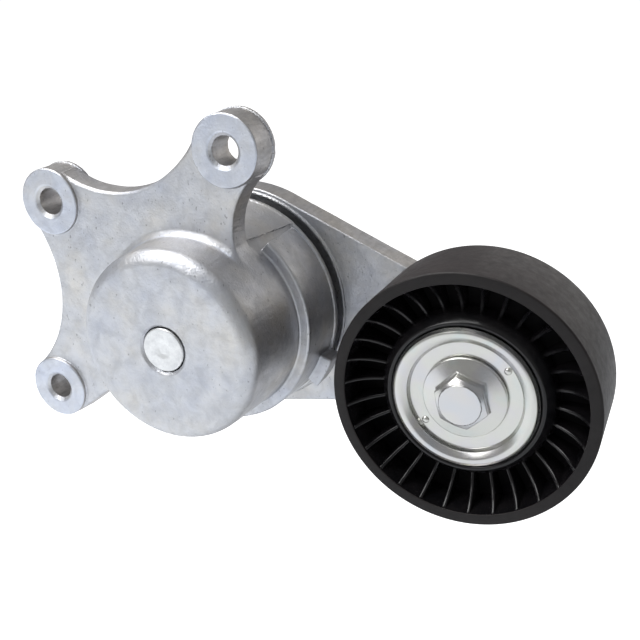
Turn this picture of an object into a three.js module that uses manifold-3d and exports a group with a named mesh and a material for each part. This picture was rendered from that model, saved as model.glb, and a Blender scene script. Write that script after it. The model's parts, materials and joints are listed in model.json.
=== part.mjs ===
// Belt tensioner idler: a spring-loaded arm that carries a smooth idler pulley.
//
// Units are millimetres, +Z is up. The arm's pivot axis runs along Y through the origin, and the
// origin lies in the mounting plane, where the front faces of the three flange bosses touch the
// engine. The housing's dome stands proud of that plane, towards -Y; the arm is at the back.
// Angles are measured in the XZ plane from +X towards +Z. Radii are from the axis of the piece.

import * as THREE from 'three';
import { mergeVertices } from 'three/addons/utils/BufferGeometryUtils.js';
import Module from 'manifold-3d';

const wasm = await Module();
wasm.setup();

// ---------------------------------------------------------------- driving dimensions

const GAP = 0.3; // clearance between neighbouring pieces

// pivot and housing
const SHAFT_RADIUS = 6.8;
const SHAFT_HEAD_RADIUS = 9.5;
const SHAFT_DIMPLE_RADIUS = 2.2;
const DOME_FRONT_Y = -14.4;
const DOME_RADIUS = 29.8;
const DOME_SHOULDER = 4;
const CUP_STEP_Y = 13.1; // where the cup widens into its rear band
const CUP_STEP_RADIUS = 31.2;
const CUP_REAR_RADIUS = 32.4; // under the band and the pad
const BAND_RADII = [34.9, 35.5]; // the band widens towards the rear
const BAND_TOP_Z = 28.1; // the band ends below the pad
const RIM_START_Y = 29.7;
const RIM_Y = 31.2; // rear edge of the cup
const RIM_RADIUS = 36.3;
const CUP_WALL = 4;
const SPRING_BORE_RADIUS = 25;
const DAMPER_BORE_RADIUS = 31;
const DAMPER_BORE_Y = 14.5;
const SHAFT_BOSS_RADIUS = 11.5;
const SHAFT_BOSS_Y = -1;
const PAD_START_Y = 8;
const PAD_RADII = [32.2, 36]; // the raised pad on top, a cone from the flange to the rim
const PAD_BASE_Z = 28.9; // the pad's flat lower edge
const STOP_EAR = { radii: [34, 39.3], angles: [-34.5, -18], frontY: 23.5 };

// flange with three bolt bosses
const FLANGE_Y = [1.2, 8.9];
const FLANGE_MIDDLE_Y = 4.4;
const FLANGE_DRAFT = [0.2, 0.6]; // how far the front and rear halves' side walls stand out
const FLANGE_FILLET = 3;
const BOSS_RADIUS = 10.5;
const BOSS_REAR_Y = 10.3;
const BOSS_REAR_RADIUS = 11.2; // of the ring behind the flange
const BOLT_HOLE_RADIUS = 4.2;
const BOLT_HOLE_CHAMFER = 1.2;
const BOSSES = {
  upperRight: [14.65, 56.77],
  upperLeft: [-49, 36.15],
  lowerLeft: [-53.9, -28.89],
};
const LEFT_WEB = { centre: [-87.85, 6.3], radius: 38.4 };
const TOP_WEB = { centre: [-26.95, 76.56], radius: 35.55 };
const RIGHT_WEB = { centre: [38, 33.5], radius: 22.45 };
const INSIDE_CUP = [24, 16]; // where the right web starts, hidden inside the cup's wall
const SPOKE_ANGLE = -142.3; // lower edge of the flange, radial from the dome

// arm
const ARM_Y = [35.3, 45];
const ARM_HUB_RADIUS = 38.4;
const ARM_END_RADIUS = 13.5;
const ARM_TUBE_OUTER = 12;
const ARM_BORE_RADIUS = 8.6;
const ARM_TRAVEL = 40; // degrees from the free stop to the loaded stop
const SPINE_WIDTH = 9;
const SPINE_Y = 48.6;
const ARM_HEX_ACROSS_FLATS = 18;
const ARM_HEX_Y = 51;

// internal stops and damper, all in the wide rear part of the cup
const TANG_RADII = [27, 30.4];
const TANG_FRONT_Y = 17;
const REST_TANG_ANGLES = [262, 285];
const END_TANG_ANGLES = [106, 126];
const STOP_WIDTH = 12; // degrees of arc
const STOP_GAP = 0.8; // degrees between a tang and its stop
const STOP_REAR_Y = 27.8;
const SHOE_MARGIN = 2.5; // degrees between the shoe and each tang
const CLIP_THICKNESS = 1.2;
const SHOE_Y = [17.6, 28.2];

// spring
const SPRING_RADIUS = 19.4;
const SPRING_WIRE = 5.2;
const SPRING_TURNS = 4.4;
const SPRING_Y = [-6.6, 25];
const LINER_RADII = [23.1, 24.6];
const LINER_Y = [-9.8, 13.8];

// pieces stacked on the shaft behind the housing
const SEAL_RADII = [31.8, 35.2];
const WASHER = { radius: 13, thickness: 1.4 };
const PLATE = { radius: 15, thickness: 2.4 };

// pulley
const PULLEY_AXIS = [85.06, -8];
const PULLEY_Y = [2.5, 30.2];
const PULLEY_RADIUS = 38;
const RIM_INNER_RADIUS = 34.6;
const RIM_CHAMFER = 0.7;
const WEB_Y = [14.6, 17.8];
const RIB_COUNT = 30;
const RIB_PHASE = 0.9; // direction of the first rib, degrees
const RIB_THICKNESS = 1.3;
const RIB_MARGIN = 0.6; // how far the ribs stay inside the pulley's faces
const RIB_ROOT = { radius: 24.2, y: [10.7, 21.8] };
const COLLAR = { bore: 21.25, crest: [21.6, 23.2], crestY: 6.3, base: 25.8 };
const BEARING_LIP = { radius: 19.3, thickness: 1.6 };

// bearing, 17 x 40 x 14
const BEARING_Y = [9.5, 23.5];
const BEARING_BORE = 8.5;
const BEARING_OUTER = 20;
const INNER_RACE_RADIUS = 12.4;
const OUTER_RACE_RADIUS = 16.1;
const BALL_COUNT = 8;
const BALL_RADIUS = 3.3;
const BALL_PITCH_RADIUS = 14.25;
const CAGE_THICKNESS = 2.2;
const CAGE_CROWN_Y = [20.2, 21.2];
const CAGE_FINGER = { front: 14.8, halfWidth: 6 }; // half width in degrees

// pulley bolt and dust shields
const BOLT_RADIUS = 5;
const BOLT_END_Y = 42;
const BOLT_FLANGE_RADIUS = 12.2;
const BOLT_FLANGE_Y = [7, 7.9];
const BOLT_HEAD_Y = 1.7;
const BOLT_ACROSS_FLATS = 15;
const BOLT_FACE_RADIUS = 6.2;
const HEX_TURN = 45; // direction of one corner, degrees
const SHIELD_RADIUS = 20.55;
const SHIELD_CREST_Y = 4.9;
const SHIELD_DISC_Y = 8.2;
const SHIELD_THICKNESS = 1;
const SHIELD_DISC_RADIUS = 16.6;
const SHIELD_CREST_RADIUS = 19.6;
const REAR_SHIELD_RADIUS = 18.6;
const PIP = { place: 14.9, angle: 41, radius: 1.1, height: 0.7 };

const SIDES = { large: 44, medium: 28, small: 20 };

// ---------------------------------------------------------------- finishes

const finish = (color, roughness, metalness) =>
  new THREE.MeshStandardMaterial({ color, roughness, metalness });

const castAluminium = finish(0xc4c6ca, 0.48, 0.85);
const zincSteel = finish(0xd2d4cf, 0.28, 0.95);
const groundSteel = finish(0xaeb0b4, 0.25, 1);
const springSteel = finish(0x4a4c50, 0.4, 0.9);
const blackNylon = finish(0x2c2929, 0.45, 0);
const palePolymer = finish(0xb9a77c, 0.5, 0);
const blackRubber = finish(0x161616, 0.75, 0);

// ---------------------------------------------------------------- geometry helpers

const radians = THREE.MathUtils.degToRad;

/** A closed geometry's shared vertices merged and its faces turned outwards, as a solid. */
function toSolid(geometry) {
  const bare = geometry.clone();
  bare.deleteAttribute('normal');
  bare.deleteAttribute('uv');
  const merged = mergeVertices(bare, 1e-4);
  const vertices = merged.attributes.position.array;
  const corner = (k) => new THREE.Vector3().fromArray(vertices, 3 * k);
  const triangles = [];
  let volume = 0;
  for (let i = 0; i < merged.index.count; i += 3) {
    const [a, b, c] = [0, 1, 2].map((k) => merged.index.getX(i + k));
    if (a === b || b === c || c === a) continue;
    triangles.push([a, b, c]);
    volume += corner(a).dot(corner(b).cross(corner(c)));
  }
  if (volume < 0) triangles.forEach((t) => t.reverse());
  return new wasm.Manifold(
    new wasm.Mesh({
      numProp: 3,
      vertProperties: new Float32Array(vertices),
      triVerts: new Uint32Array(triangles.flat()),
    }),
  );
}

/** A named mesh made from a solid. */
function piece(name, solid, material) {
  const { vertProperties, triVerts } = solid.getMesh();
  const geometry = new THREE.BufferGeometry();
  geometry.setAttribute('position', new THREE.BufferAttribute(vertProperties, 3));
  geometry.setIndex(new THREE.BufferAttribute(triVerts, 1));
  geometry.computeVertexNormals();
  const mesh = new THREE.Mesh(geometry, material);
  mesh.name = name;
  return mesh;
}

/** A solid of revolution about Y, from a list of [radius, y] points. */
function turned(profile, sides = SIDES.medium) {
  const onAxis = profile[0][0] === 0 && profile.at(-1)[0] === 0;
  const loop = onAxis ? profile : [...profile, profile[0]];
  const points = loop.map(([radius, y]) => new THREE.Vector2(radius, y));
  return toSolid(new THREE.LatheGeometry(points, sides));
}

/** A ring of rectangular section about Y. */
const ring = ([inner, outer], [y0, y1], sides) =>
  turned([[inner, y0], [outer, y0], [outer, y1], [inner, y1]], sides);

/** A solid disc or rod about Y. */
const rod = (radius, [y0, y1], sides = SIDES.small) =>
  turned([[0, y0], [radius, y0], [radius, y1], [0, y1]], sides);

/** An outline in the XZ plane as a plate from y0 to y1. */
function plate(outline, [y0, y1], curveSegments = 9) {
  const options = { depth: y1 - y0, bevelEnabled: false, curveSegments };
  const geometry = new THREE.ExtrudeGeometry(outline, options);
  return toSolid(geometry.rotateX(Math.PI / 2).translate(0, y1, 0));
}

/** A block between two radii and two angles, from y0 to y1. */
function arcBlock([inner, outer], [from, to], span, curveSegments = 6) {
  const outline = new THREE.Shape();
  outline.absarc(0, 0, outer, radians(from), radians(to), false);
  outline.absarc(0, 0, inner, radians(to), radians(from), true);
  return plate(outline, span, curveSegments);
}

/** A hexagonal bar about Y, with one corner in the given direction. */
function hexBar(acrossFlats, cornerAngle, span) {
  const outline = new THREE.Shape();
  const cornerRadius = acrossFlats / Math.sqrt(3);
  for (let k = 0; k < 6; k += 1) {
    const angle = radians(cornerAngle + 60 * k);
    const corner = [cornerRadius * Math.cos(angle), cornerRadius * Math.sin(angle)];
    if (k === 0) outline.moveTo(...corner);
    else outline.lineTo(...corner);
  }
  outline.closePath();
  return plate(outline, span);
}

/** Points on an arc in a turned profile, from one angle to another about its own centre. */
function profileArc([centreRadius, centreY], radius, from, to, steps) {
  return Array.from({ length: steps + 1 }, (_, k) => {
    const angle = radians(from + ((to - from) * k) / steps);
    return [centreRadius + radius * Math.cos(angle), centreY + radius * Math.sin(angle)];
  });
}

const moved = (solid, [x, z]) => solid.translate([x, 0, z]);
const joined = (solids) => solids.reduce((whole, solid) => whole.add(solid));

// ---------------------------------------------------------------- housing

const directionTo = ([x, y], [toX, toY]) => Math.atan2(toY - y, toX - x);

/** The flange outline: a round at each boss, with a concave web between neighbours. */
function flangeOutline(outward = 0) {
  const { upperRight, upperLeft, lowerLeft } = BOSSES;
  const outline = new THREE.Shape();
  const round = (boss, from, to) =>
    outline.absarc(...boss, BOSS_RADIUS + outward, from, to, false);
  const web = ({ centre, radius }, from, to) => outline.absarc(
    ...centre, radius - outward, directionTo(centre, from), directionTo(centre, to), true,
  );
  const spoke = radians(SPOKE_ANGLE);
  outline.moveTo(0, 0);
  web(RIGHT_WEB, INSIDE_CUP, upperRight);
  round(upperRight, directionTo(upperRight, RIGHT_WEB.centre), directionTo(upperRight, TOP_WEB.centre));
  web(TOP_WEB, upperRight, upperLeft);
  round(upperLeft, directionTo(upperLeft, TOP_WEB.centre), directionTo(upperLeft, LEFT_WEB.centre));
  web(LEFT_WEB, upperLeft, lowerLeft);
  round(lowerLeft, directionTo(lowerLeft, LEFT_WEB.centre), spoke + Math.PI / 2);
  outline.lineTo(0, 0);
  return outline;
}

/** The part of space above a height, as wide as the cup. */
const aboveZ = (z) =>
  toSolid(new THREE.BoxGeometry(100, 100, 100).translate(0, 0, z + 50));

function housing() {
  const shoulder = profileArc(
    [DOME_RADIUS - DOME_SHOULDER, DOME_FRONT_Y + DOME_SHOULDER], DOME_SHOULDER, -90, 0, 3,
  );
  const cup = turned([
    [0, DOME_FRONT_Y],
    ...shoulder,
    [CUP_STEP_RADIUS, CUP_STEP_Y],
    [CUP_REAR_RADIUS, CUP_STEP_Y + 1],
    [CUP_REAR_RADIUS, RIM_START_Y],
    [RIM_RADIUS, RIM_START_Y + 0.3],
    [RIM_RADIUS, RIM_Y],
    [0, RIM_Y],
  ], SIDES.large);
  const band = turned([
    [0, CUP_STEP_Y],
    [CUP_STEP_RADIUS, CUP_STEP_Y],
    [BAND_RADII[0], CUP_STEP_Y + 1.4],
    [BAND_RADII[1], RIM_START_Y + 0.1],
    [0, RIM_START_Y + 0.1],
  ], SIDES.large).subtract(aboveZ(BAND_TOP_Z));

  const outline = flangeOutline();
  const filletRoot = DOME_RADIUS + 0.6;
  const filletRing = turned([
    [filletRoot - 2, FLANGE_Y[0] - FLANGE_FILLET],
    ...profileArc(
      [filletRoot + FLANGE_FILLET, FLANGE_Y[0] - FLANGE_FILLET], FLANGE_FILLET, 180, 90, 2,
    ),
    [filletRoot + FLANGE_FILLET, FLANGE_Y[0] + 1],
    [filletRoot - 2, FLANGE_Y[0] + 1],
  ], SIDES.large);
  const fillet = filletRing.intersect(
    plate(outline, [FLANGE_Y[0] - FLANGE_FILLET - 1, FLANGE_Y[0] + 2]),
  );
  const bosses = Object.values(BOSSES).flatMap((place) => [
    moved(rod(BOSS_RADIUS, [0, BOSS_REAR_Y], SIDES.small), place),
    moved(rod(BOSS_REAR_RADIUS, [FLANGE_Y[1] - 0.3, BOSS_REAR_Y], SIDES.small), place),
  ]);
  const flange = [
    plate(flangeOutline(FLANGE_DRAFT[0]), [FLANGE_Y[0], FLANGE_MIDDLE_Y + 0.1]),
    plate(flangeOutline(FLANGE_DRAFT[1]), [FLANGE_MIDDLE_Y, FLANGE_Y[1]]),
  ];
  const pad = turned([
    [0, PAD_START_Y],
    [PAD_RADII[0], PAD_START_Y],
    [PAD_RADII[1], RIM_Y],
    [0, RIM_Y],
  ], SIDES.large).intersect(aboveZ(PAD_BASE_Z));
  const ear = arcBlock(STOP_EAR.radii, STOP_EAR.angles, [STOP_EAR.frontY, RIM_Y], 3);

  const springBoreFloor = DOME_FRONT_Y + CUP_WALL;
  const cavity = turned([
    [SHAFT_BOSS_RADIUS, springBoreFloor],
    [SPRING_BORE_RADIUS, springBoreFloor],
    [SPRING_BORE_RADIUS, DAMPER_BORE_Y],
    [DAMPER_BORE_RADIUS, DAMPER_BORE_Y + 1],
    [DAMPER_BORE_RADIUS, RIM_Y + 1],
    [0.5, RIM_Y + 1],
    [0.5, SHAFT_BOSS_Y],
    [SHAFT_BOSS_RADIUS, SHAFT_BOSS_Y],
  ], SIDES.large);
  const shaftBore = turned([
    [0, DOME_FRONT_Y - 1],
    [SHAFT_RADIUS + GAP + 1, DOME_FRONT_Y - 1],
    [SHAFT_RADIUS + GAP + 1, DOME_FRONT_Y],
    [SHAFT_RADIUS + GAP, DOME_FRONT_Y + 0.8],
    [SHAFT_RADIUS + GAP, RIM_Y],
    [0, RIM_Y],
  ], SIDES.medium);
  const boltHole = turned([
    [0, -1],
    [BOLT_HOLE_RADIUS + BOLT_HOLE_CHAMFER + 1, -1],
    [BOLT_HOLE_RADIUS, BOLT_HOLE_CHAMFER],
    [BOLT_HOLE_RADIUS, BOSS_REAR_Y + 1],
    [0, BOSS_REAR_Y + 1],
  ], SIDES.small);

  const stopSpan = [DAMPER_BORE_Y + 1, STOP_REAR_Y];
  const stopRadii = [TANG_RADII[0], DAMPER_BORE_RADIUS + 1];
  const restStopStart = REST_TANG_ANGLES[1] + STOP_GAP;
  const endStopEnd = END_TANG_ANGLES[0] - ARM_TRAVEL - STOP_GAP;
  const stops = [
    arcBlock(stopRadii, [restStopStart, restStopStart + STOP_WIDTH], stopSpan),
    arcBlock(stopRadii, [endStopEnd - STOP_WIDTH, endStopEnd], stopSpan),
  ];

  const casting = joined([cup, band, ...flange, fillet, ...bosses, pad, ear]);
  const holes = joined(Object.values(BOSSES).map((place) => moved(boltHole, place)));
  const solid = joined([casting.subtract(cavity), ...stops]).subtract(shaftBore).subtract(holes);
  return piece('base_housing', solid, castAluminium);
}

// ---------------------------------------------------------------- pieces fixed to the housing

const washerY = [ARM_Y[1] + GAP, ARM_Y[1] + GAP + WASHER.thickness];
const plateY = [washerY[1] + GAP, washerY[1] + GAP + PLATE.thickness];

function pivotShaft() {
  const headY = plateY[1] + GAP;
  const solid = turned([
    [0, DOME_FRONT_Y + 0.5],
    [SHAFT_DIMPLE_RADIUS, DOME_FRONT_Y],
    [SHAFT_RADIUS - 0.4, DOME_FRONT_Y],
    [SHAFT_RADIUS, DOME_FRONT_Y + 0.4],
    [SHAFT_RADIUS, headY],
    [SHAFT_HEAD_RADIUS, headY],
    [SHAFT_HEAD_RADIUS, headY + 0.6],
    [SHAFT_HEAD_RADIUS - 2, headY + 1.6],
    [0, headY + 1.6],
  ]);
  return piece('pivot_shaft', solid, groundSteel);
}

/** A closed tube of round section along a helix about Y. */
function torsionSpring() {
  class Helix extends THREE.Curve {
    getPoint(t) {
      const angle = 2 * Math.PI * SPRING_TURNS * t;
      const y = THREE.MathUtils.lerp(...SPRING_Y, t);
      return new THREE.Vector3(SPRING_RADIUS * Math.cos(angle), y, SPRING_RADIUS * Math.sin(angle));
    }
  }
  const section = new THREE.Shape();
  const sectionSides = 6;
  for (let k = 0; k < sectionSides; k += 1) {
    const angle = (2 * Math.PI * k) / sectionSides;
    const corner = [(SPRING_WIRE / 2) * Math.cos(angle), (SPRING_WIRE / 2) * Math.sin(angle)];
    if (k === 0) section.moveTo(...corner);
    else section.lineTo(...corner);
  }
  section.closePath();
  const steps = Math.round(SPRING_TURNS * 16);
  const options = { steps, extrudePath: new Helix(), bevelEnabled: false };
  return piece('torsion_spring', toSolid(new THREE.ExtrudeGeometry(section, options)), springSteel);
}

const fixedPieces = () => [
  housing(),
  pivotShaft(),
  torsionSpring(),
  piece('spring_liner', ring(LINER_RADII, LINER_Y), palePolymer),
  piece('dust_seal', ring(SEAL_RADII, [RIM_Y + GAP, ARM_Y[0] - GAP]), blackRubber),
  piece('retaining_plate', ring([SHAFT_RADIUS + GAP, PLATE.radius], plateY), zincSteel),
];

// ---------------------------------------------------------------- arm

/** The arm's outline: a belt round the pivot hub and the pulley boss. */
function armOutline() {
  const distance = Math.hypot(...PULLEY_AXIS);
  const lean = Math.acos((ARM_HUB_RADIUS - ARM_END_RADIUS) / distance);
  const along = Math.atan2(PULLEY_AXIS[1], PULLEY_AXIS[0]);
  const outline = new THREE.Shape();
  outline.absarc(0, 0, ARM_HUB_RADIUS, along + lean, along - lean + 2 * Math.PI, false);
  outline.absarc(...PULLEY_AXIS, ARM_END_RADIUS, along - lean, along + lean, false);
  return outline;
}

function arm() {
  const hub = rod(ARM_TUBE_OUTER, [SHAFT_BOSS_Y + 1.5, ARM_Y[0] + 1]);
  const tangSpan = [TANG_FRONT_Y, ARM_Y[0] + 1];
  const tangs = [REST_TANG_ANGLES, END_TANG_ANGLES].map((angles) =>
    arcBlock(TANG_RADII, angles, tangSpan));

  const shoulderY = BEARING_Y[1] + GAP + SHIELD_THICKNESS + GAP;
  const boss = turned([
    [0, BEARING_Y[0] + 0.6],
    [BEARING_BORE - GAP, BEARING_Y[0] + 0.6],
    [BEARING_BORE - GAP, shoulderY],
    [INNER_RACE_RADIUS - 0.6, shoulderY],
    [ARM_END_RADIUS, ARM_Y[0] + 1],
    [0, ARM_Y[0] + 1],
  ]);
  const length = Math.hypot(...PULLEY_AXIS);
  const spine = toSolid(
    new THREE.BoxGeometry(length, SPINE_Y - ARM_Y[1] + 1, SPINE_WIDTH)
      .translate(length / 2, (SPINE_Y + ARM_Y[1] - 1) / 2, 0)
      .rotateY(-Math.atan2(PULLEY_AXIS[1], PULLEY_AXIS[0])),
  );
  const hex = hexBar(ARM_HEX_ACROSS_FLATS, 0, [ARM_Y[1] - 1, ARM_HEX_Y]);
  const spineEnd = rod(PLATE.radius + 3, [ARM_Y[1], SPINE_Y + 1]);
  const bore = rod(ARM_BORE_RADIUS, [-5, ARM_Y[1] + 5]);
  const boltHole = moved(rod(BOLT_RADIUS + GAP, [0, BOLT_END_Y + 1]), PULLEY_AXIS);

  const solid = joined([
    plate(armOutline(), ARM_Y, 16),
    hub,
    ...tangs,
    moved(boss, PULLEY_AXIS),
    spine.subtract(spineEnd),
    moved(hex, PULLEY_AXIS),
  ]).subtract(bore).subtract(boltHole);
  return piece('tensioner_arm', solid, castAluminium);
}

function damper() {
  const angles = [END_TANG_ANGLES[1] + SHOE_MARGIN, REST_TANG_ANGLES[0] - SHOE_MARGIN];
  const clipOuter = TANG_RADII[0] - GAP;
  const clipRadii = [clipOuter - CLIP_THICKNESS, clipOuter];
  return [
    piece('damper_shoe', arcBlock(TANG_RADII, angles, SHOE_Y, 16), palePolymer),
    piece('damper_clip', arcBlock(clipRadii, angles, SHOE_Y, 16), springSteel),
  ];
}

function pivotBushing() {
  const inner = SHAFT_RADIUS + GAP;
  const outer = ARM_BORE_RADIUS - GAP;
  return piece('pivot_bushing', ring([inner, outer], [SHAFT_BOSS_Y + 1.5, ARM_Y[1]]), palePolymer);
}

// ---------------------------------------------------------------- pieces clamped to the arm's end

function pulleyBolt() {
  const chamferedBar = turned([
    [0, BOLT_HEAD_Y],
    [BOLT_FACE_RADIUS, BOLT_HEAD_Y],
    [BOLT_FACE_RADIUS + 1, BOLT_HEAD_Y + 0.4],
    [BOLT_ACROSS_FLATS * 0.6, BOLT_HEAD_Y + 1.6],
    [BOLT_ACROSS_FLATS * 0.6, BOLT_FLANGE_Y[1]],
    [0, BOLT_FLANGE_Y[1]],
  ], SIDES.small).intersect(hexBar(BOLT_ACROSS_FLATS, HEX_TURN, [BOLT_HEAD_Y, BOLT_FLANGE_Y[1]]));
  const body = turned([
    [0, BOLT_FLANGE_Y[0] - 1],
    [BOLT_ACROSS_FLATS * 0.5, BOLT_FLANGE_Y[0] - 1],
    [BOLT_FLANGE_RADIUS, BOLT_FLANGE_Y[0]],
    [BOLT_FLANGE_RADIUS, BOLT_FLANGE_Y[1]],
    [BOLT_RADIUS, BOLT_FLANGE_Y[1]],
    [BOLT_RADIUS, BOLT_END_Y - 1],
    [BOLT_RADIUS - 1, BOLT_END_Y],
    [0, BOLT_END_Y],
  ], SIDES.small);
  return piece('pulley_bolt', chamferedBar.add(body), zincSteel);
}

/** The front shield: a flat disc inside a rolled rim, with two pips. */
function frontShield() {
  const rimY = SHIELD_CREST_Y;
  const sheet = SHIELD_THICKNESS;
  const hole = BOLT_RADIUS + GAP;
  const disc = turned([
    [hole, SHIELD_DISC_Y],
    [SHIELD_DISC_RADIUS, SHIELD_DISC_Y],
    [SHIELD_DISC_RADIUS + 0.9, rimY + 0.5],
    [SHIELD_CREST_RADIUS, rimY],
    [SHIELD_RADIUS, rimY + 0.8],
    [SHIELD_RADIUS, rimY + 2],
    [SHIELD_CREST_RADIUS, rimY + sheet],
    [SHIELD_DISC_RADIUS + 1.4, rimY + 0.5 + sheet],
    [SHIELD_DISC_RADIUS + 0.8, SHIELD_DISC_Y + sheet],
    [hole, SHIELD_DISC_Y + sheet],
  ]);
  const pips = [PIP.angle, PIP.angle + 180].map((angle) => {
    const place = [PIP.place * Math.cos(radians(angle)), PIP.place * Math.sin(radians(angle))];
    const dome = turned([
      [0, SHIELD_DISC_Y - PIP.height],
      [PIP.radius * 0.6, SHIELD_DISC_Y - PIP.height * 0.7],
      [PIP.radius, SHIELD_DISC_Y + 0.2],
      [0, SHIELD_DISC_Y + 0.2],
    ], 10);
    return moved(dome, place);
  });
  return piece('front_shield', joined([disc, ...pips]), zincSteel);
}

function innerRing() {
  const middle = (BEARING_Y[0] + BEARING_Y[1]) / 2;
  const solid = turned([
    [BEARING_BORE, BEARING_Y[0]],
    [INNER_RACE_RADIUS, BEARING_Y[0]],
    ...profileArc([BALL_PITCH_RADIUS, middle], BALL_RADIUS + 0.4, -120, -240, 3),
    [INNER_RACE_RADIUS, BEARING_Y[1]],
    [BEARING_BORE, BEARING_Y[1]],
  ]);
  return piece('bearing_inner_ring', solid, groundSteel);
}

function rearShield() {
  const front = BEARING_Y[1] + GAP;
  const solid = ring([BEARING_BORE, REAR_SHIELD_RADIUS], [front, front + SHIELD_THICKNESS]);
  return piece('rear_shield', solid, zincSteel);
}

// ---------------------------------------------------------------- pulley and bearing

/** One rib: a radial plate whose front and rear edges dip from the rim to the collar. */
function rib() {
  const outline = new THREE.Shape();
  const { radius, y } = RIB_ROOT;
  const front = PULLEY_Y[0] + RIB_MARGIN;
  const rear = PULLEY_Y[1] - RIB_MARGIN;
  const bend = RIM_INNER_RADIUS - 3;
  outline.moveTo(RIM_INNER_RADIUS + 1, front);
  outline.lineTo(RIM_INNER_RADIUS, front);
  outline.quadraticCurveTo(bend, y[0] - 1.7, radius, y[0]);
  outline.lineTo(radius, y[1]);
  outline.quadraticCurveTo(bend, y[1] + 1.8, RIM_INNER_RADIUS, rear);
  outline.lineTo(RIM_INNER_RADIUS + 1, rear);
  outline.closePath();
  const options = { depth: RIB_THICKNESS, bevelEnabled: false, curveSegments: 2 };
  return new THREE.ExtrudeGeometry(outline, options).translate(0, 0, -RIB_THICKNESS / 2);
}

function pulleyRim() {
  const [front, rear] = PULLEY_Y;
  const seat = BEARING_OUTER + GAP;
  const seatFront = BEARING_Y[0] - GAP;
  const seatRear = BEARING_Y[1] + GAP;
  const wheel = turned([
    [PULLEY_RADIUS - RIM_CHAMFER, front],
    [PULLEY_RADIUS, front + RIM_CHAMFER],
    [PULLEY_RADIUS, rear - RIM_CHAMFER],
    [PULLEY_RADIUS - RIM_CHAMFER, rear],
    [RIM_INNER_RADIUS, rear],
    [RIM_INNER_RADIUS - 0.6, WEB_Y[1]],
    [COLLAR.base, WEB_Y[1]],
    [RIB_ROOT.radius, seatRear + BEARING_LIP.thickness],
    [BEARING_LIP.radius, seatRear + BEARING_LIP.thickness],
    [BEARING_LIP.radius, seatRear],
    [seat, seatRear],
    [seat, seatFront],
    [BEARING_LIP.radius, seatFront],
    [BEARING_LIP.radius, seatFront - 1],
    [COLLAR.bore, seatFront - 1],
    [COLLAR.crest[0], COLLAR.crestY],
    [COLLAR.crest[1], COLLAR.crestY],
    [COLLAR.base, WEB_Y[0]],
    [RIM_INNER_RADIUS - 0.6, WEB_Y[0]],
    [RIM_INNER_RADIUS, front],
  ], RIB_COUNT);
  const blade = rib();
  const ribs = Array.from({ length: RIB_COUNT }, (_, k) => {
    const direction = radians(RIB_PHASE + (360 / RIB_COUNT) * k);
    return toSolid(blade.clone().rotateY(-direction));
  });
  return piece('pulley_rim', joined([wheel, ...ribs]), blackNylon);
}

function outerRing() {
  const middle = (BEARING_Y[0] + BEARING_Y[1]) / 2;
  const solid = turned([
    [BEARING_OUTER, BEARING_Y[0]],
    [OUTER_RACE_RADIUS, BEARING_Y[0]],
    ...profileArc([BALL_PITCH_RADIUS, middle], BALL_RADIUS + 0.45, -60, 60, 3),
    [OUTER_RACE_RADIUS, BEARING_Y[1]],
    [BEARING_OUTER, BEARING_Y[1]],
  ]);
  return piece('bearing_outer_ring', solid, groundSteel);
}

function bearingSeal(name, y) {
  const radii = [INNER_RACE_RADIUS + 0.4, OUTER_RACE_RADIUS - 0.4];
  return piece(name, ring(radii, [y, y + 1], SIDES.small), blackRubber);
}

function bearingCage() {
  const half = CAGE_THICKNESS / 2;
  const radii = [BALL_PITCH_RADIUS - half, BALL_PITCH_RADIUS + half];
  const { front, halfWidth } = CAGE_FINGER;
  const fingers = Array.from({ length: BALL_COUNT }, (_, k) => {
    const middle = (360 / BALL_COUNT) * (k + 0.5);
    return arcBlock(radii, [middle - halfWidth, middle + halfWidth], [front, CAGE_CROWN_Y[0] + 0.5], 1);
  });
  const crown = ring(radii, CAGE_CROWN_Y, SIDES.small);
  return piece('bearing_cage', joined([crown, ...fingers]), palePolymer);
}

function balls() {
  const middle = (BEARING_Y[0] + BEARING_Y[1]) / 2;
  return Array.from({ length: BALL_COUNT }, (_, k) => {
    const angle = radians((360 / BALL_COUNT) * k);
    const ball = toSolid(new THREE.SphereGeometry(BALL_RADIUS, 8, 6));
    const mesh = piece(`bearing_ball_${k + 1}`, ball, groundSteel);
    mesh.position.set(BALL_PITCH_RADIUS * Math.cos(angle), middle, BALL_PITCH_RADIUS * Math.sin(angle));
    return mesh;
  });
}

// ---------------------------------------------------------------- assembly

const tensioner = new THREE.Group();

const armAssembly = new THREE.Group();
armAssembly.add(
  arm(),
  pivotBushing(),
  ...damper(),
  piece('thrust_washer', ring([SHAFT_RADIUS + GAP, WASHER.radius], washerY), palePolymer),
);

const armEnd = new THREE.Group();
armEnd.position.set(PULLEY_AXIS[0], 0, PULLEY_AXIS[1]);
armEnd.add(pulleyBolt(), frontShield(), innerRing(), rearShield());

const pulleyAssembly = new THREE.Group();
pulleyAssembly.add(
  pulleyRim(),
  outerRing(),
  bearingSeal('front_bearing_seal', BEARING_Y[0] + 0.7),
  bearingSeal('rear_bearing_seal', BEARING_Y[1] - 1.7),
);

const cageAssembly = new THREE.Group();
cageAssembly.add(bearingCage(), ...balls());

armEnd.add(pulleyAssembly, cageAssembly);
armAssembly.add(armEnd);
tensioner.add(...fixedPieces(), armAssembly);

export default tensioner;
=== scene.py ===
"""Belt tensioner idler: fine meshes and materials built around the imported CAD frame.

Lengths are millimetres in the part's own frame: the arm pivots about Y through the origin, the
mounting plane is y = 0, and the pulley's axis runs parallel to Y. Meshes are scaled to metres as
they are made. The castings and the bolt are distance fields, so every edge has its round; turned,
pressed and moulded pieces are lathed from profiles, and the pulley's ribs are thin plates.
"""

import json
import math

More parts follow.
